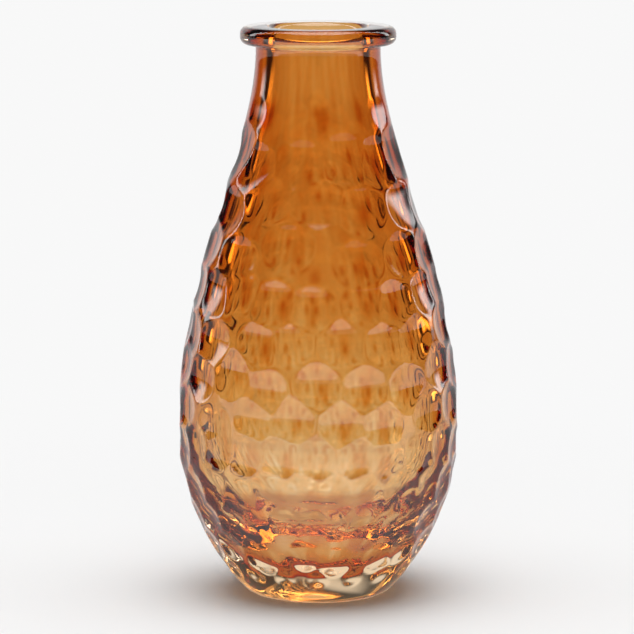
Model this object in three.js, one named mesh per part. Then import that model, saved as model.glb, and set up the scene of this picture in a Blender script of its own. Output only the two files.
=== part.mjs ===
// A bud vase: a thick clear body of moulded glass, dimpled all over outside, and the thin
// translucent amber coat that lines it. Millimetres, +Z up, standing on Z = 0, axis on Z.
import * as THREE from "three";

// ---- Outside of the glass ----
const HEIGHT = 150; // foot to the crest of the rim
const BELLY_RADIUS = 37.3; // widest ring, on the ridges between the dimples
const BELLY_HEIGHT = 42.7; // how high the widest ring lies
const NECK_RADIUS = 16.3; // neck, just under the rim
const HEEL_RADIUS = 20.3; // where the side turns into the foot
const HEEL_HEIGHT = 1.9;
const FOOT_INSET = 3.7; // from the heel in to the flat ring that the vase stands on
const FOOT_WIDTH = 3; // width of that ring
const PUSH_UP = 1.2; // hollow under the middle of the foot
const RIM_OVERHANG = 4.1; // how far the rim stands out from the neck
const RIM_THICKNESS = 4.8;
const RIM_ROUND = 2; // both edges of the rim, and the edge of the mouth
const RIM_FILLET = 0.8; // between the neck and the underside of the rim

// ---- How far the side runs on from each ring before it curves away ----
const HEEL_LEAN = new THREE.Vector2(7.3, 7.6);
const BELLY_RUN_DOWN = 17.4;
const BELLY_RUN_UP = 45.6;
const NECK_RUN_DOWN = 27;

// ---- Inside of the glass ----
const NECK_WALL = 4.1; // glass between the neck and the narrowest part of the bore
const BELLY_WALL = 3.4; // glass left at the widest ring, under the ridges
const FLOOR_THICKNESS = 11.5; // glass under the flat of the floor
const FLOOR_RADIUS = 3; // flat of the floor, before it curves up into the side
const FLOOR_RUN_OUT = 14;
const BORE_RUN_DOWN = 29;
const HOLLOW_RUN_UP = 44;
const HOLLOW_RUN_DOWN = 14;

// ---- Dimples: round scoops in rows, wider and deeper towards the neck, meeting in ridges ----
const WIDTH_TO_PITCH = 1.18; // from one to the next along a row, by the step from row to row
const DEPTH_TO_WIDTH = 0.096; // at the middle of a scoop
const CURVE_TO_WIDTH = 1.45; // radius of the hollow of a scoop
const DIMPLE_DRIFT = 0.2; // how far one strays from its place, as a share of the spacing
const COUNT_STEP = 6; // a row's count is a multiple of this, so neighbouring rows mostly match
const EDGE_ROW_DEPTH = 0.3; // the lowest and highest rows are shallow and stand apart
const LOWEST_ROW = 7.9; // along the side from the heel
const HIGHEST_ROW = 16.5; // along the side from the neck
const PITCH_AT_FOOT = 7.8; // from row to row
const PITCH_AT_NECK = 12.4;

// ---- Amber coat: thins out from the mouth down to the middle of the floor ----
const COAT_AT_MOUTH = 0.32;
const COAT_AT_FLOOR = 0.16;
const COAT_GAP = 0.05; // clearance that keeps the two meshes apart

// ---- What follows from these ----
const MOUTH_RADIUS = NECK_RADIUS - NECK_WALL;
const RIM_RADIUS = NECK_RADIUS + RIM_OVERHANG;
const FOOT_RADIUS = HEEL_RADIUS - FOOT_INSET;

// ---- Mesh fineness ----
const SEGMENTS = 72;
const RINGS_PER_ROW = 3;
const NECK_RINGS = 3;
const ARC_STEPS = 3;
const HOLLOW_RINGS = 7; // above the widest ring
const BOWL_RINGS = 5; // below it
const SEEDS_PER_ROW = 100; // more than the dimples in any row

const GLASS = new THREE.MeshStandardMaterial({ color: 0xe9e4dc, roughness: 0.05, metalness: 0 });
const AMBER = new THREE.MeshStandardMaterial({ color: 0xc4711c, roughness: 0.12, metalness: 0 });
const TURN = 2 * Math.PI;

const at = (radius, height) => new THREE.Vector2(radius, height);

function bend(from, leave, arrive, to) {
  return new THREE.CubicBezierCurve(from, leave, arrive, to);
}

// Points on a round corner, from one angle to another (degrees, 0 outwards and 90 up).
function corner(centre, radius, fromDegrees, toDegrees) {
  const points = [];
  for (let i = 0; i <= ARC_STEPS; i++) {
    const angle = THREE.MathUtils.degToRad(
      THREE.MathUtils.lerp(fromDegrees, toDegrees, i / ARC_STEPS),
    );
    const reach = at(Math.cos(angle), Math.sin(angle)).multiplyScalar(radius);
    points.push(centre.clone().add(reach));
  }
  return points;
}

// The outside of the side wall, from the heel up to the neck.
function sideCurve() {
  const heel = at(HEEL_RADIUS, HEEL_HEIGHT);
  const belly = at(BELLY_RADIUS, BELLY_HEIGHT);
  const neck = at(NECK_RADIUS, HEIGHT - RIM_THICKNESS - RIM_FILLET);
  const curve = new THREE.CurvePath();
  curve.add(
    bend(heel, heel.clone().add(HEEL_LEAN), at(belly.x, belly.y - BELLY_RUN_DOWN), belly),
  );
  curve.add(
    bend(belly, at(belly.x, belly.y + BELLY_RUN_UP), at(neck.x, neck.y - NECK_RUN_DOWN), neck),
  );
  return curve;
}

// A number from -1 to 1 that looks random and is the same every time.
function stray(seed) {
  const value = Math.sin(seed * 12.9898) * 43758.5453;
  return 2 * (value - Math.floor(value)) - 1;
}

// The rows of dimples, lowest first: how far along the side each lies, and its middles as
// { along, angle }. Rows lie closer together at the foot than at the neck.
function dimpleRows(side) {
  const length = side.getLength();
  const span = length - LOWEST_ROW - HIGHEST_ROW;
  const steps = Math.round((2 * span) / (PITCH_AT_FOOT + PITCH_AT_NECK));
  const even = (2 * PITCH_AT_FOOT) / (PITCH_AT_FOOT + PITCH_AT_NECK);
  const rows = [];
  for (let k = 0; k <= steps; k++) {
    const t = k / steps;
    const along = LOWEST_ROW + span * (even * t + (1 - even) * t * t);
    const width = WIDTH_TO_PITCH * THREE.MathUtils.lerp(PITCH_AT_FOOT, PITCH_AT_NECK, t);
    const room = TURN * side.getPoint(along / length).x;
    const around = COUNT_STEP * Math.round(room / width / COUNT_STEP);
    const edge = k === 0 || k === steps;
    const drift = edge ? 0 : DIMPLE_DRIFT;
    const middles = [];
    for (let i = 0; i < around; i++) {
      const seed = k * SEEDS_PER_ROW + i;
      middles.push({
        along: along + drift * width * stray(seed + 0.5),
        angle: (TURN / around) * (i + k / 2 + drift * stray(seed)),
      });
    }
    const depth = width * DEPTH_TO_WIDTH * (edge ? EDGE_ROW_DEPTH : 1);
    rows.push({ along, middles, depth, curve: width * CURVE_TO_WIDTH });
  }
  return rows;
}

// How deep the scoops cut at a place on the side; the deepest of the scoops there wins.
function scoopDepth(rows, along, radius, angle) {
  let depth = 0;
  for (const row of rows) {
    for (const middle of row.middles) {
      const turnAway = Math.abs(angle - middle.angle) % TURN;
      const across = radius * Math.min(turnAway, TURN - turnAway);
      const away = Math.hypot(across, along - middle.along);
      depth = Math.max(depth, row.depth - (away * away) / (2 * row.curve));
    }
  }
  return depth;
}

// Rings along the side, each with how far along it lies and its outward direction.
function sideRings(side, rows) {
  const length = side.getLength();
  const places = [0, LOWEST_ROW / 2];
  rows.slice(1).forEach((row, k) => {
    for (let j = 0; j < RINGS_PER_ROW; j++) {
      places.push(THREE.MathUtils.lerp(rows[k].along, row.along, j / RINGS_PER_ROW));
    }
  });
  for (let k = 0; k <= NECK_RINGS; k++) {
    places.push(length - (HIGHEST_ROW * (NECK_RINGS - k)) / NECK_RINGS);
  }
  return places.map((along) => {
    const tangent = side.getTangent(along / length);
    return { point: side.getPoint(along / length), along, out: at(tangent.y, -tangent.x) };
  });
}

// The inside of the glass, from the edge of the mouth down to the middle of the floor.
function insidePoints() {
  const mouth = at(MOUTH_RADIUS, HEIGHT - RIM_ROUND);
  const throat = at(MOUTH_RADIUS, HEIGHT - RIM_THICKNESS);
  const belly = at(BELLY_RADIUS - BELLY_WALL, BELLY_HEIGHT);
  const floor = at(FLOOR_RADIUS, FLOOR_THICKNESS);
  const hollow = bend(
    throat,
    at(throat.x, throat.y - BORE_RUN_DOWN),
    at(belly.x, belly.y + HOLLOW_RUN_UP),
    belly,
  );
  const bowl = bend(
    belly,
    at(belly.x, belly.y - HOLLOW_RUN_DOWN),
    at(floor.x + FLOOR_RUN_OUT, floor.y),
    floor,
  );
  return [
    mouth,
    ...hollow.getSpacedPoints(HOLLOW_RINGS),
    ...bowl.getSpacedPoints(BOWL_RINGS).slice(1),
    at(0, floor.y),
  ];
}

// The push-up under the foot, the flat ring round it and the turn up to the heel.
function footPoints() {
  const innerEdge = FOOT_RADIUS - FOOT_WIDTH;
  const pushUp = bend(at(0, PUSH_UP), at(innerEdge / 2, PUSH_UP), at(innerEdge, 0), at(innerEdge, 0));
  const heelTurn = bend(
    at(FOOT_RADIUS, 0),
    at(FOOT_RADIUS, 0),
    at(HEEL_RADIUS - FOOT_INSET / 2, 0),
    at(HEEL_RADIUS, HEEL_HEIGHT),
  );
  return [...pushUp.getPoints(2), ...heelTurn.getPoints(2).slice(0, -1)];
}

function rimPoints() {
  const under = HEIGHT - RIM_THICKNESS;
  const edge = RIM_RADIUS - RIM_ROUND;
  return [
    at(NECK_RADIUS + RIM_FILLET, under),
    ...corner(at(edge, under + RIM_ROUND), RIM_ROUND, -90, 0),
    ...corner(at(edge, HEIGHT - RIM_ROUND), RIM_ROUND, 0, 90),
    ...corner(at(MOUTH_RADIUS + RIM_ROUND, HEIGHT - RIM_ROUND), RIM_ROUND, 90, 180),
  ];
}

// A turned solid. Rings on the side are pressed in by the dimples, square to the side.
function turned(rings, rows = []) {
  const geometry = new THREE.LatheGeometry(
    rings.map((ring) => ring.point),
    SEGMENTS,
  );
  const position = geometry.getAttribute("position");
  rings.forEach(({ point, along, out }, j) => {
    if (!out) return;
    for (let s = 0; s <= SEGMENTS; s++) {
      const angle = (TURN * (s % SEGMENTS)) / SEGMENTS;
      const depth = scoopDepth(rows, along, point.x, angle);
      const pressed = point.clone().addScaledVector(out, -depth);
      const side = pressed.x * Math.sin(angle);
      const front = pressed.x * Math.cos(angle);
      position.setXYZ(s * rings.length + j, side, pressed.y, front);
    }
  });
  return geometry.rotateX(Math.PI / 2);
}

// One outline, from the middle of the foot round the outside to the middle of the floor.
function glassBody() {
  const side = sideCurve();
  const rows = dimpleRows(side);
  const plain = (points) => points.map((point) => ({ point }));
  const outline = [
    ...plain(footPoints()),
    ...sideRings(side, rows),
    ...plain(rimPoints()),
    ...plain(insidePoints().slice(1)),
  ];
  const mesh = new THREE.Mesh(turned(outline, rows), GLASS);
  mesh.name = "glass_body";
  return mesh;
}

// The inside of the glass, moved square to itself into the hollow: by one distance at the
// mouth, and by another in the middle of the floor.
function insideOffset(atMouth, atFloor) {
  const points = insidePoints();
  const last = points.length - 1;
  return points.map((point, i) => {
    const distance = THREE.MathUtils.lerp(atMouth, atFloor, i / last);
    if (i === last) return at(0, point.y + distance);
    const before = points[Math.max(0, i - 1)];
    const along = points[i + 1].clone().sub(before).normalize();
    const inward = i === 0 ? at(-1, 0) : at(along.y, -along.x);
    return point.clone().addScaledVector(inward, distance);
  });
}

function amberCoat() {
  const outside = insideOffset(COAT_GAP, COAT_GAP).reverse();
  const inside = insideOffset(COAT_GAP + COAT_AT_MOUTH, COAT_GAP + COAT_AT_FLOOR);
  const rings = [...outside, ...inside].map((point) => ({ point }));
  const mesh = new THREE.Mesh(turned(rings), AMBER);
  mesh.name = "amber_inner_coat";
  return mesh;
}

const vase = new THREE.Group();
vase.add(glassBody(), amberCoat());

export default vase;
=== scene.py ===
"""A bud vase of thick clear glass, dimpled outside and lined with a translucent amber coat.

Metres, in the CAD frame: +Z up, standing on Z = 0, axis on Z.
"""
import math

import bpy
import numpy as np
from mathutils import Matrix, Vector


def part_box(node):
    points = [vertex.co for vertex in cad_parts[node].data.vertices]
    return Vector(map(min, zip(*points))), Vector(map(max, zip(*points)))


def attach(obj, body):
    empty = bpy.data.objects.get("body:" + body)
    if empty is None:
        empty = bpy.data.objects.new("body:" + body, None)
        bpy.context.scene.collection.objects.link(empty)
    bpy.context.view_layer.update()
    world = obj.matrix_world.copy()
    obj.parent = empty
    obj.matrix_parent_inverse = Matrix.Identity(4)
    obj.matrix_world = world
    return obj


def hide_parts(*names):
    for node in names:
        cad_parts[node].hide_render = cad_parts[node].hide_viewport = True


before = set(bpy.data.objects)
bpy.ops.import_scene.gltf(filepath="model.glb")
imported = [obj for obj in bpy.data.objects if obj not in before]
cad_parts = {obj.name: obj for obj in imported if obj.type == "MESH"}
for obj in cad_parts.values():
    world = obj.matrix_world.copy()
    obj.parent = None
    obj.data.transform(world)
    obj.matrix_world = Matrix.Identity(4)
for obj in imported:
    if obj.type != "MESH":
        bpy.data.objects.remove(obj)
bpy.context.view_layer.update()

MM = 0.001
TURN = 2 * math.pi

# ---- Sizes taken from the frame (millimetres) ----
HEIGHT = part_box("glass_body")[1][2] / MM
MOUTH_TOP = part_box("amber_inner_coat")[1][2] / MM

# ---- Outline of the glass (millimetres) ----
BELLY_RADIUS = 37.1  # 0.2 less than in the CAD, so that this finer mesh stays inside the CAD's box
BELLY_HEIGHT = 42.7
NECK_RADIUS = 16.3
HEEL_RADIUS = 20.3
HEEL_HEIGHT = 1.9
FOOT_RADIUS = 16.6
FOOT_WIDTH = 3.0
PUSH_UP = 1.2
# Under the foot: shares of the hollow's radius and of PUSH_UP.
FOOT_CURVE = ((0, 1), (0.3, 0.92), (0.6, 0.6), (0.85, 0.18), (1, 0))
HEEL_TURN = ((1.4, 0.12), (2.6, 0.45))  # beyond FOOT_RADIUS, and a share of HEEL_HEIGHT
RIM_RADIUS = 20.4
RIM_THICKNESS = 4.8
RIM_ROUND = 2.0
RIM_FILLET = 0.8
HEEL_LEAN = (7.3, 7.6)
BELLY_RUN_DOWN = 17.4
BELLY_RUN_UP = 45.6
NECK_RUN_DOWN = 27.0
MOUTH_RADIUS = 12.2
BELLY_WALL = 3.4
FLOOR_THICKNESS = 11.5
FLOOR_RADIUS = 3.0
FLOOR_RUN_OUT = 14.0
FLOOR_END = 1.0  # radius of the last ring before the axis
BORE_RUN_DOWN = 29.0
HOLLOW_RUN_UP = 44.0
HOLLOW_RUN_DOWN = 14.0

# ---- Dimples (millimetres) ----
WIDTH_TO_PITCH = 1.18  # a dimple's width along its row, as a share of the step between rows
DEPTH_TO_WIDTH = 0.096
CURVE_TO_WIDTH = 1.45  # radius of the hollow of a dimple, as a share of its width
DIMPLE_DRIFT = 0.2
COUNT_STEP = 6  # dimples in a row come in steps of this many, so neighbouring rows mostly match
EDGE_ROW_DEPTH = 0.3
LOWEST_ROW = 7.9
HIGHEST_ROW = 16.5
PITCH_AT_FOOT = 7.8
PITCH_AT_NECK = 12.4
RIDGE_ROUND = 0.05  # how far the ridges between scoops are rounded off
SCOOP_REACH = 14  # how far along the side, up or down, a scoop is worked out
SCOOP_LIMIT = 60  # keeps the exponential in range
SEEDS_PER_ROW = 100

# ---- Coat (millimetres) ----
COAT_GAP = 0.05  # from the inside of the glass in the CAD to the coat
COAT_SINK = 0.06  # from there to the inside of the visual glass, besides the coat's thickness: 0.01 over it
COAT_PROFILE = (  # share of the way from the edge of the mouth to the middle of the floor, and thickness
    (0.0, 0.23), (0.09, 0.23), (0.18, 0.27), (0.34, 0.26), (0.45, 0.23), (0.53, 0.19), (0.64, 0.16),
    (0.73, 0.11), (0.84, 0.055), (1.0, 0.035),
)
COAT_LESS, COAT_MORE = 0.4, 0.9  # the most it may lose or gain, as a share of its nominal thickness
COAT_EDGE = 108  # how far round the edge of the mouth it runs; 180 is the bore and 90 the crest
SHADE_PATCH_DEPTH = 0.3  # extra coat a little below each dimple, so the amber is darker there: painted shade for the dimples
SHADE_PATCH_MIDDLE, SHADE_PATCH_UNEVEN = 0.6, 0.6  # shares of the painted shade's depth above: the middle amount, and how far it varies
SHADE_PATCH_DROP = 1.6
SHADE_PATCH_SHIFT = 1.4
SHADE_PATCH_WIDE = 1.1
SHADE_PATCH_TALL = 2.2
SHADE_PATCH_REACH = 4  # how far up and down a patch of painted shade is worked out, as a share of its height above
SHADE_PATCH_STRAY = 0.5  # how far a patch of painted shade strays sideways, as a share of its width above, at the radius below
SHADE_PATCH_RADIUS = 30
STREAK = 0.022
STREAK_WAVES = 40
STREAK_TURNS = (3, 45)  # least number of waves round the vase, and how many more at most
STREAK_RISE = 0.25  # most that a wave leans, in radians per millimetre of height
STREAK_START = 9  # most that a wave is turned round the vase, in radians of its own

# ---- Mesh fineness ----
SEGMENTS = 300
SIDE_RINGS = 190
INSIDE_RINGS = 100
LOWER_SIDE_POINTS, UPPER_SIDE_POINTS = 200, 400  # on each curve, before it is cut in equal steps
HOLLOW_POINTS, BOWL_POINTS = 200, 150
MOUTH_POINTS, RIM_POINTS, FILLET_POINTS = 12, 8, 5


def bezier(p0, p1, p2, p3, count):
    """Points on a cubic curve from p0 to p3, drawn towards p1 and p2."""
    t = np.linspace(0, 1, count)[:, None]
    p0, p1, p2, p3 = (np.array(p, float) for p in (p0, p1, p2, p3))
    return (1 - t) ** 3 * p0 + 3 * (1 - t) ** 2 * t * p1 + 3 * (1 - t) * t * t * p2 + t**3 * p3


def spaced(points, count):
    """The same outline in equal steps, and how far along it each point lies."""
    run = np.concatenate([[0], np.cumsum(np.hypot(*np.diff(points, axis=0).T))])
    along = np.linspace(0, run[-1], count)
    return np.stack([np.interp(along, run, points[:, k]) for k in (0, 1)], 1), along


def arc(centre, radius, start, end, count):
    """Points on part of a circle, from one angle in degrees to another."""
    angle = np.radians(np.linspace(start, end, count))
    return np.stack([centre[0] + radius * np.cos(angle), centre[1] + radius * np.sin(angle)], 1)


def square_to(outline):
    """Unit steps square to an outline: outwards if it runs up the side, inwards if it runs down."""
    tangent = np.gradient(outline, axis=0)
    tangent /= np.linalg.norm(tangent, axis=1)[:, None]
    return np.stack([tangent[:, 1], -tangent[:, 0]], 1)


def turned(radius, height, angles):
    """Points (metres) at angles measured from straight in front, positive to the right."""
    level = height + np.zeros_like(angles)
    return np.stack([radius * np.sin(angles), -radius * np.cos(angles), level], -1) * MM


def around(outline, angles):
    """Rings of points (metres) for an outline of radius and height (millimetres)."""
    return turned(outline[:, 0][:, None], outline[:, 1][:, None], angles[None, :])


def ring_angles():
    return np.linspace(0, TURN, SEGMENTS, endpoint=False)


def ring_mesh(name, rings, material):
    """A closed turned mesh. rings is (count, SEGMENTS, 3); the first and last shrink to the axis."""
    count, segments = rings.shape[:2]
    start = (0, 0, float(rings[0, :, 2].mean()))
    end = (0, 0, float(rings[-1, :, 2].mean()))
    verts = [start] + [tuple(v) for v in rings[1:-1].reshape(-1, 3)] + [end]
    inner = count - 2
    last = 1 + (inner - 1) * segments
    faces = []
    for s in range(segments):
        n = (s + 1) % segments
        faces.append((0, 1 + n, 1 + s))
        for j in range(inner - 1):
            a = 1 + j * segments + s
            b = 1 + j * segments + n
            faces.append((a, b, b + segments, a + segments))
        faces.append((last + s, last + n, len(verts) - 1))
    mesh = bpy.data.meshes.new(name)
    mesh.from_pydata(verts, [], faces)
    mesh.materials.append(material)
    mesh.polygons.foreach_set("use_smooth", [True] * len(faces))
    mesh.update()
    piece = bpy.data.objects.new(name, mesh)
    bpy.context.scene.collection.objects.link(piece)
    return piece


def side_outline():
    """The side without its dimples, from the heel to under the rim, and how far along it points lie."""
    heel = (HEEL_RADIUS, HEEL_HEIGHT)
    belly = (BELLY_RADIUS, BELLY_HEIGHT)
    neck = (NECK_RADIUS, HEIGHT - RIM_THICKNESS - RIM_FILLET)
    heel_lean = (heel[0] + HEEL_LEAN[0], heel[1] + HEEL_LEAN[1])
    below_belly = (belly[0], belly[1] - BELLY_RUN_DOWN)
    above_belly = (belly[0], belly[1] + BELLY_RUN_UP)
    below_neck = (neck[0], neck[1] - NECK_RUN_DOWN)
    lower = bezier(heel, heel_lean, below_belly, belly, LOWER_SIDE_POINTS)
    upper = bezier(belly, above_belly, below_neck, neck, UPPER_SIDE_POINTS)
    return spaced(np.vstack([lower, upper[1:]]), SIDE_RINGS)


def stray(seed):
    """A scattered number from -1 to 1, always the same for the same seed."""
    value = np.sin(seed * 12.9898) * 43758.5453
    return 2 * (value - np.floor(value)) - 1


def dimple_rows(points, along):
    """Each dimple's place along the side, angle, depth and radius of its hollow."""
    span = along[-1] - LOWEST_ROW - HIGHEST_ROW
    steps = round(2 * span / (PITCH_AT_FOOT + PITCH_AT_NECK))
    even = 2 * PITCH_AT_FOOT / (PITCH_AT_FOOT + PITCH_AT_NECK)
    dimples = []
    for k in range(steps + 1):
        t = k / steps
        place = LOWEST_ROW + span * (even * t + (1 - even) * t * t)
        width = WIDTH_TO_PITCH * (PITCH_AT_FOOT + (PITCH_AT_NECK - PITCH_AT_FOOT) * t)
        count = COUNT_STEP * round(TURN * np.interp(place, along, points[:, 0]) / width / COUNT_STEP)
        edge = k in (0, steps)
        drift = 0 if edge else DIMPLE_DRIFT
        depth = width * DEPTH_TO_WIDTH * (EDGE_ROW_DEPTH if edge else 1)
        for i in range(count):
            seed = k * SEEDS_PER_ROW + i
            dimples.append((
                place + drift * width * stray(seed + 0.5),
                TURN / count * (i + k / 2 + drift * stray(seed)),
                depth,
                width * CURVE_TO_WIDTH,
            ))
    return np.array(dimples)


def scoop_depths(points, along, angles):
    """Depth of the scoops at each ring and angle; where scoops meet, the ridge is rounded a little."""
    total = np.ones((len(along), len(angles)))
    for place, angle, deepest, curve in dimple_rows(points, along):
        near = np.abs(along - place) < SCOOP_REACH
        turn = np.abs((angles - angle + math.pi) % TURN - math.pi)
        across = points[near, 0][:, None] * turn[None, :]
        away2 = across**2 + ((along[near] - place) ** 2)[:, None]
        scoop = deepest - away2 / (2 * curve)
        total[near] += np.exp(np.clip(scoop / RIDGE_ROUND, -SCOOP_LIMIT, SCOOP_LIMIT))
    return RIDGE_ROUND * np.log(total)


def side_rings(angles):
    """The dimpled side: each point of the outline moved inwards, square to the side, by its scoop."""
    side, along = side_outline()
    depth = scoop_depths(side, along, angles)
    out = square_to(side)
    radius = side[:, 0][:, None] - out[:, 0][:, None] * depth
    height = side[:, 1][:, None] - out[:, 1][:, None] * depth
    return turned(radius, height, angles)


def foot_outline():
    """From the middle of the pushed-up foot, over the ring that it stands on, to the heel."""
    inner_edge = FOOT_RADIUS - FOOT_WIDTH
    hollow = [(inner_edge * out, PUSH_UP * up) for out, up in FOOT_CURVE]
    heel = [(FOOT_RADIUS + out, HEEL_HEIGHT * up) for out, up in HEEL_TURN]
    return np.array(hollow + [(FOOT_RADIUS, 0)] + heel)


def mouth_edge(inward, sunk, start, end):
    """The rounded edge of the mouth, brought inward to meet the bore and sunk below the crest."""
    turn = np.radians(np.linspace(start, end, MOUTH_POINTS))
    return np.stack([
        MOUTH_RADIUS + RIM_ROUND + (RIM_ROUND + inward) * np.cos(turn),
        HEIGHT - RIM_ROUND + (RIM_ROUND - sunk) * np.sin(turn),
    ], 1)


def rim_outline():
    """From the neck, out and round the flange, over the crest and down the edge of the mouth."""
    under = HEIGHT - RIM_THICKNESS
    edge = RIM_RADIUS - RIM_ROUND
    fillet = arc((NECK_RADIUS + RIM_FILLET, under - RIM_FILLET), RIM_FILLET, 180, 90, FILLET_POINTS)
    return np.vstack([
        fillet[1:],
        arc((edge, under + RIM_ROUND), RIM_ROUND, -90, 0, RIM_POINTS),
        arc((edge, HEIGHT - RIM_ROUND), RIM_ROUND, 0, 90, RIM_POINTS),
        mouth_edge(COAT_SINK + COAT_PROFILE[0][1], 0, 90, 180)[:-1],
    ])


def inside_outline():
    """The inside of the glass in the CAD, from the edge of the mouth to the middle of the floor."""
    throat = (MOUTH_RADIUS, HEIGHT - RIM_THICKNESS)
    belly = (BELLY_RADIUS - BELLY_WALL, BELLY_HEIGHT)
    floor = (FLOOR_RADIUS, FLOOR_THICKNESS)
    below_throat = (throat[0], throat[1] - BORE_RUN_DOWN)
    above_belly = (belly[0], belly[1] + HOLLOW_RUN_UP)
    below_belly = (belly[0], belly[1] - HOLLOW_RUN_DOWN)
    beside_floor = (floor[0] + FLOOR_RUN_OUT, floor[1])
    hollow = bezier(throat, below_throat, above_belly, belly, HOLLOW_POINTS)
    bowl = bezier(belly, below_belly, beside_floor, floor, BOWL_POINTS)
    whole = np.vstack([[(MOUTH_RADIUS, MOUTH_TOP)], hollow, bowl[1:], [(FLOOR_END, floor[1])]])
    return spaced(whole, INSIDE_RINGS)[0]


def offset(outline, distance):
    """The inside outline moved into the hollow, square to itself."""
    inward = square_to(outline)
    inward[0] = (-1, 0)
    return outline + inward * np.reshape(distance, (-1, 1))


def coat_thickness():
    """Nominal thickness at each ring of the inside outline."""
    share = np.linspace(0, 1, INSIDE_RINGS)
    return np.interp(share, *zip(*COAT_PROFILE))


def painted_shade_patches(outline, angles):
    """Painted shade: extra coat in a soft drop low behind each dimple, so the amber is darker there."""
    side, along = side_outline()
    radius, height = outline[:, 0], outline[:, 1]
    extra = np.zeros((len(outline), len(angles)))
    for n, (place, angle, _, _) in enumerate(dimple_rows(side, along)):
        middle = np.interp(place, along, side[:, 1]) - SHADE_PATCH_DROP
        near = np.abs(height - middle) < SHADE_PATCH_REACH * SHADE_PATCH_TALL
        sideways = SHADE_PATCH_STRAY * stray(n + 0.3) * SHADE_PATCH_WIDE / SHADE_PATCH_RADIUS
        turn = (angles - angle - sideways + math.pi) % TURN - math.pi
        across = (radius[near][:, None] * turn[None, :] - SHADE_PATCH_SHIFT) / SHADE_PATCH_WIDE
        up = ((height[near] - middle) / SHADE_PATCH_TALL)[:, None]
        amount = SHADE_PATCH_DEPTH * (SHADE_PATCH_MIDDLE + SHADE_PATCH_UNEVEN * stray(n * 1.7 + 0.1))
        extra[near] += amount * np.exp(-0.5 * (across**2 + up**2))
    return extra


def streaks(height, angles):
    """Streaks and a fine mottle: many waves round the vase, each leaning its own way."""
    least, more = STREAK_TURNS
    waves = np.zeros((len(height), len(angles)))
    for n in range(STREAK_WAVES):
        turns = least + round(more * abs(stray(n + 900)))
        rise = STREAK_RISE * stray(n + 800)
        start = STREAK_START * stray(n + 700)
        waves += np.sin(turns * angles[None, :] + rise * height[:, None] + start)
    return STREAK * waves / math.sqrt(STREAK_WAVES)


def principled(name, **sockets):
    """A material and its Principled shader, with the sockets named given their values."""
    material = bpy.data.materials.new(name)
    material.use_nodes = True
    shader = material.node_tree.nodes["Principled BSDF"]
    for key, value in sockets.items():
        shader.inputs[key.replace("_", " ")].default_value = value
    return material, shader


def absorb(material, colour, density):
    """Absorption through the thickness, per metre: density for a colour of 0, none for 1."""
    nodes, links = material.node_tree.nodes, material.node_tree.links
    volume = nodes.new("ShaderNodeVolumeAbsorption")
    volume.inputs["Color"].default_value = (*colour, 1)
    volume.inputs["Density"].default_value = density
    links.new(volume.outputs["Volume"], nodes["Material Output"].inputs["Volume"])


WHITE = (1, 1, 1, 1)
GLASS_STEP = 1.5  # refractive index
NO_STEP = 1.0
GLASS_COLOUR, GLASS_DENSITY = (0.97, 0.72, 0.35), 24.0
LACQUER_COLOUR, LACQUER_DENSITY = (0.885, 0.583, 0.0), 7173


def clear_glass():
    material, _ = principled(
        "clear_glass", Base_Color=WHITE, Roughness=0.0, IOR=GLASS_STEP, Transmission_Weight=1.0)
    absorb(material, GLASS_COLOUR, GLASS_DENSITY)
    return material


def amber_coat():
    """The coat is bonded to the glass, so light meets no step between them, only the coat's colour."""
    material, _ = principled(
        "amber_coat", Base_Color=WHITE, Roughness=0.0, IOR=NO_STEP, Transmission_Weight=1.0)
    absorb(material, LACQUER_COLOUR, LACQUER_DENSITY)
    return material


def glass_body():
    """The whole glass. Its inside is moved in beyond the coat, so that the coat lies within its wall."""
    angles = ring_angles()
    inside = offset(inside_outline(), COAT_SINK + coat_thickness())
    axis = np.array([(0, inside[-1, 1])])
    rings = np.concatenate([
        around(foot_outline(), angles), side_rings(angles), around(rim_outline(), angles),
        around(inside, angles), around(axis, angles),
    ])
    return ring_mesh("glass_body_visual", rings, clear_glass())


def coat():
    """A closed shell: up the glass side, over the edge of the mouth, and down the air side."""
    angles = ring_angles()
    inside = inside_outline()
    nominal = coat_thickness()
    # the first term is painted shade, thicker coat below each dimple; the streaks are the coat's own uneven
    # tone
    extra = painted_shade_patches(inside, angles) + streaks(inside[:, 1], angles)
    extra = np.clip(extra, -COAT_LESS * nominal[:, None], COAT_MORE * nominal[:, None])
    outward = offset(inside, -1.0) - inside
    inner = offset(inside, COAT_GAP + nominal)
    outer = around(offset(inside, COAT_GAP), angles)
    outer += turned(outward[:, 0, None] * extra, outward[:, 1, None] * extra, angles)
    at_mouth = COAT_PROFILE[0][1]
    below = COAT_SINK - COAT_GAP
    glass_side = mouth_edge(COAT_GAP, below + at_mouth, 180, COAT_EDGE)[1:]
    air_side = mouth_edge(COAT_GAP + at_mouth, below, COAT_EDGE, 180)[:-1]
    bottom = np.array([(0, offset(inside, COAT_GAP)[-1, 1])])
    top = np.array([(0, inner[-1, 1])])
    rings = np.concatenate([
        around(bottom, angles), outer[::-1], around(glass_side, angles),
        around(air_side, angles), around(inner, angles), around(top, angles),
    ])
    return ring_mesh("amber_inner_coat_visual", rings, amber_coat())


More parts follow.
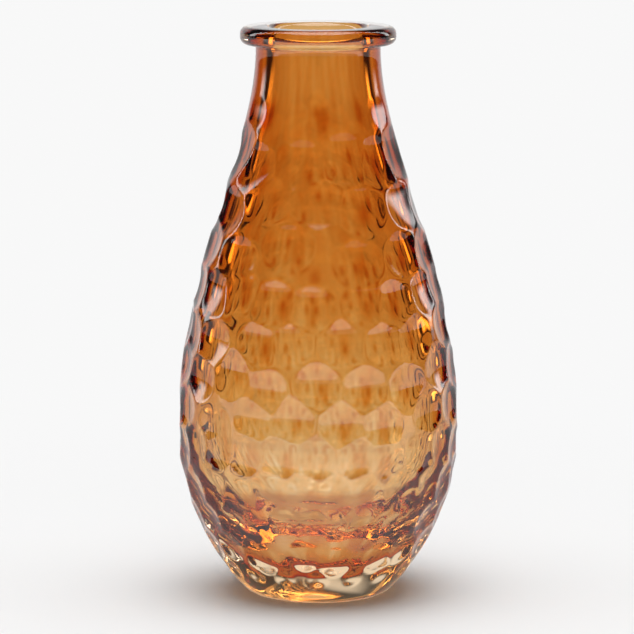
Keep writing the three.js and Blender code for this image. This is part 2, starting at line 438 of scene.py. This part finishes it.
class Sums:
    """Short forms for arithmetic between the sockets of one node tree."""

    def __init__(self, tree):
        self.tree = tree

    def math(self, kind, *values):
        node = self.tree.nodes.new("ShaderNodeMath")
        node.operation = kind
        for socket, value in zip(node.inputs, values):
            if isinstance(value, (int, float)):
                socket.default_value = value
            else:
                self.tree.links.new(value, socket)
        return node.outputs[0]

    def pick(self, choice, first, second):
        """first where choice is 0, second where it is 1."""
        away = self.math("MULTIPLY", self.math("SUBTRACT", 1.0, choice), first)
        return self.math("MULTIPLY_ADD", choice, second, away)

    def ramp(self, value, start, end, low=0.0, high=1.0):
        """low at start, high at end, and smooth between them."""
        node = self.tree.nodes.new("ShaderNodeMapRange")
        node.interpolation_type = "SMOOTHSTEP"
        self.tree.links.new(value, node.inputs["Value"])
        for key, number in (("From Min", start), ("From Max", end), ("To Min", low), ("To Max", high)):
            node.inputs[key].default_value = number
        return node.outputs["Result"]


# ---- Studio (metres and degrees) ----
# The camera sees a plain pale floor and backdrop. What the glass shows is a different, made-up room, told
# apart by kind of ray: screens round the vase, a bright ceiling, paper on a dark table seen through the
# glass, and a table lit from the front mirrored in it. It was chosen to match the photograph.
BACKDROP = 0.94
ROOM = 0.04
# Each screen: middle azimuth, half width, lowest, highest, soft edge, strength.
# Azimuth is measured from straight behind, positive to the right.
LOWEST = -90
THROUGH_SCREENS = (
    (-2, 14, LOWEST, 20, 7, 0.95),
    (-92, 18, LOWEST, 34, 11, 0.95),
    (88, 18, LOWEST, 34, 11, 0.95),
    (-182, 18, LOWEST, 34, 11, 0.95),
    (178, 18, LOWEST, 34, 11, 0.95),
)
MIRRORED_SCREENS = (
    (0, 40, LOWEST, 26, 7, 0.85),
    (-66, 6, 2, 60, 3, 4.5),
    (57, 5, 2, 60, 3, 4.5),
)
CEILING = (54, 68, 0.0, 4.5)  # where it starts, where it is full, and its strength at each
CEILING_THROUGH = 0.3  # share of the ceiling's light left for rays that have passed through glass
FLOOR_SIZE = 3.0
FLOOR_SIDES = 96
FLOOR_SHADE = 0.78
FADE = (0.06, 0.3)  # where the floor that the camera sees runs out into the backdrop
PAPER_WIDE = (0.07, -0.12, 0.6)  # least half width of the paper; else start and spread with distance
PAPER_FADE = 0.04
PAPER_SHADE = 0.95
DARK_FLOOR = 0.03
MIRRORED_BACK, MIRRORED_FRONT = 0.8, 2.1
MIRRORED_RISE = (0.01, -0.09)  # between the two, going forward
MIRRORED_EDGE = (0.65, 0.5)  # where the table ends in front
MIRRORED_ROOM = 0.5
SHADOW = (0.025, 0.05)  # the table under and close round the vase, in its amber shadow
SHADOW_COLOUR = (0.68, 0.52, 0.36, 1)


def screens(sums, azimuth, rise, rows):
    """Strength of the light from a ring of soft-edged screens, in each direction."""
    total = ROOM
    for middle, half, low, high, soft, strength in rows:
        away = sums.math("ABSOLUTE", sums.math("SUBTRACT", azimuth, float(middle)))
        pool = sums.ramp(away, half + soft, half - soft)
        if low > LOWEST:
            pool = sums.math("MULTIPLY", pool, sums.ramp(rise, low - soft, low + soft))
        pool = sums.math("MULTIPLY", pool, sums.ramp(rise, high + soft, high - soft))
        total = sums.math("MULTIPLY_ADD", pool, float(strength), total)
    return total


def studio_world():
    """Backdrop to the camera, and screens and a ceiling to light that the glass bends or mirrors."""
    world = bpy.data.worlds.new("studio")
    world.use_nodes = True
    tree = world.node_tree
    sums = Sums(tree)
    spread = tree.nodes.new("ShaderNodeSeparateXYZ")
    tree.links.new(tree.nodes.new("ShaderNodeTexCoord").outputs["Generated"], spread.inputs[0])
    x, y, z = spread.outputs
    azimuth = sums.math("DEGREES", sums.math("ARCTAN2", x, y))
    rise = sums.math("DEGREES", sums.math("ARCSINE", z))
    rays = tree.nodes.new("ShaderNodeLightPath").outputs
    ceiling = sums.ramp(rise, *CEILING)
    share = sums.math("MULTIPLY_ADD", rays["Is Transmission Ray"], CEILING_THROUGH - 1, 1.0)
    through = screens(sums, azimuth, rise, THROUGH_SCREENS)
    through = sums.math("MULTIPLY_ADD", ceiling, share, through)
    mirrored = sums.math("ADD", screens(sums, azimuth, rise, MIRRORED_SCREENS), ceiling)
    hidden = sums.pick(rays["Is Glossy Ray"], through, mirrored)
    background = tree.nodes["Background"]
    tree.links.new(sums.pick(rays["Is Camera Ray"], hidden, BACKDROP), background.inputs["Strength"])
    background.inputs["Color"].default_value = WHITE
    bpy.context.scene.world = world


def fan(sums, along, across):
    """Paper that widens as it runs out from the vase; 1 on it, 0 off it."""
    least, start, spread = PAPER_WIDE
    wide = sums.math("MULTIPLY_ADD", sums.math("ABSOLUTE", along), spread, start)
    wide = sums.math("MAXIMUM", wide, least)
    beyond = sums.math("SUBTRACT", sums.math("ABSOLUTE", across), wide)
    return sums.ramp(beyond, PAPER_FADE, 0.0)


def paper_level(sums, right, back):
    """What the floor gives off to light inside the glass: two crossed lengths of paper on a dark table."""
    strips = [fan(sums, right, back), fan(sums, back, right)]
    bright = sums.math("MULTIPLY", sums.math("MAXIMUM", *strips), PAPER_SHADE)
    return sums.math("MAXIMUM", bright, DARK_FLOOR)


def mirrored_level(sums, back):
    """What the floor gives off to mirrored light: a table that is bright in front and then ends."""
    lit = sums.ramp(back, *MIRRORED_RISE, MIRRORED_BACK, MIRRORED_FRONT)
    on_table = sums.ramp(sums.math("MULTIPLY", back, -1.0), *MIRRORED_EDGE)
    return sums.pick(on_table, MIRRORED_ROOM, lit)


def shadow_colour(sums, away):
    """Amber close round the vase and white further off; the camera itself doesn't see it."""
    shade = sums.tree.nodes.new("ShaderNodeValToRGB")
    shade.color_ramp.elements[0].color = SHADOW_COLOUR
    sums.tree.links.new(sums.ramp(away, *SHADOW), shade.inputs["Fac"])
    return shade.outputs["Color"]


def floor_material():
    """A plain pale floor to the camera, running out into the backdrop; to other light, it glows.

    It glows as crossed paper to light inside the glass, and as a lit table to mirrored light.
    """
    shade = (FLOOR_SHADE, FLOOR_SHADE, FLOOR_SHADE, 1)
    material, shader = principled("floor", Base_Color=shade, Roughness=0.7, Specular_IOR_Level=0.2)
    tree = material.node_tree
    sums = Sums(tree)
    place = tree.nodes.new("ShaderNodeTexCoord").outputs["Object"]
    spread = tree.nodes.new("ShaderNodeSeparateXYZ")
    tree.links.new(place, spread.inputs[0])
    right, back = spread.outputs["X"], spread.outputs["Y"]
    length = tree.nodes.new("ShaderNodeVectorMath")
    length.operation = "LENGTH"
    tree.links.new(place, length.inputs[0])
    away = length.outputs["Value"]
    rays = tree.nodes.new("ShaderNodeLightPath").outputs
    direct = rays["Is Camera Ray"]
    hidden = sums.pick(rays["Is Glossy Ray"], paper_level(sums, right, back), mirrored_level(sums, back))
    glow = tree.nodes.new("ShaderNodeEmission")
    tree.links.new(sums.pick(direct, hidden, BACKDROP), glow.inputs["Strength"])
    tree.links.new(shadow_colour(sums, away), glow.inputs["Color"])
    mix = tree.nodes.new("ShaderNodeMixShader")
    tree.links.new(sums.pick(direct, 1.0, sums.ramp(away, *FADE)), mix.inputs["Fac"])
    tree.links.new(shader.outputs["BSDF"], mix.inputs[1])
    tree.links.new(glow.outputs["Emission"], mix.inputs[2])
    tree.links.new(mix.outputs["Shader"], tree.nodes["Material Output"].inputs["Surface"])
    return material


def studio():
    """The world, and a round floor that isn't part of the object."""
    studio_world()
    mesh = bpy.data.meshes.new("floor")
    turn = [TURN * i / FLOOR_SIDES for i in range(FLOOR_SIDES)]
    verts = [(FLOOR_SIZE * math.cos(a), FLOOR_SIZE * math.sin(a), 0) for a in turn]
    mesh.from_pydata(verts, [], [tuple(range(FLOOR_SIDES))])
    mesh.materials.append(floor_material())
    piece = bpy.data.objects.new("floor", mesh)
    bpy.context.scene.collection.objects.link(piece)


# ---- Camera (metres; the lens and its sensor in millimetres) ----
CAMERA_DISTANCE = 0.950
CAMERA_HEIGHT = 0.223
CAMERA_SIDE = -0.0003
AIM_HEIGHT = 0.0732
LENS, SENSOR = 207.14196, 36


def camera():
    """In front of the vase and above it, aimed a little below the vase's middle, as in the photograph."""
    data = bpy.data.cameras.new("camera")
    data.sensor_width = SENSOR
    data.lens = LENS
    data.clip_start = 0.01
    data.clip_end = 50
    piece = bpy.data.objects.new("camera", data)
    piece.location = (CAMERA_SIDE, -CAMERA_DISTANCE, CAMERA_HEIGHT)
    aim = Vector((0, CAMERA_DISTANCE, AIM_HEIGHT - CAMERA_HEIGHT))
    piece.rotation_mode = "QUATERNION"
    piece.rotation_quaternion = aim.to_track_quat("-Z", "Y")
    bpy.context.scene.collection.objects.link(piece)
    bpy.context.scene.camera = piece


glass = glass_body()
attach(glass, "root")
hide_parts("glass_body")
lining = coat()
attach(lining, "root")
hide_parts("amber_inner_coat")

studio()
camera()

scene = bpy.context.scene
scene.view_settings.view_transform = "Standard"
scene.cycles.max_bounces = 32
scene.cycles.transmission_bounces = 32
scene.cycles.transparent_max_bounces = 64
scene.cycles.glossy_bounces = 16
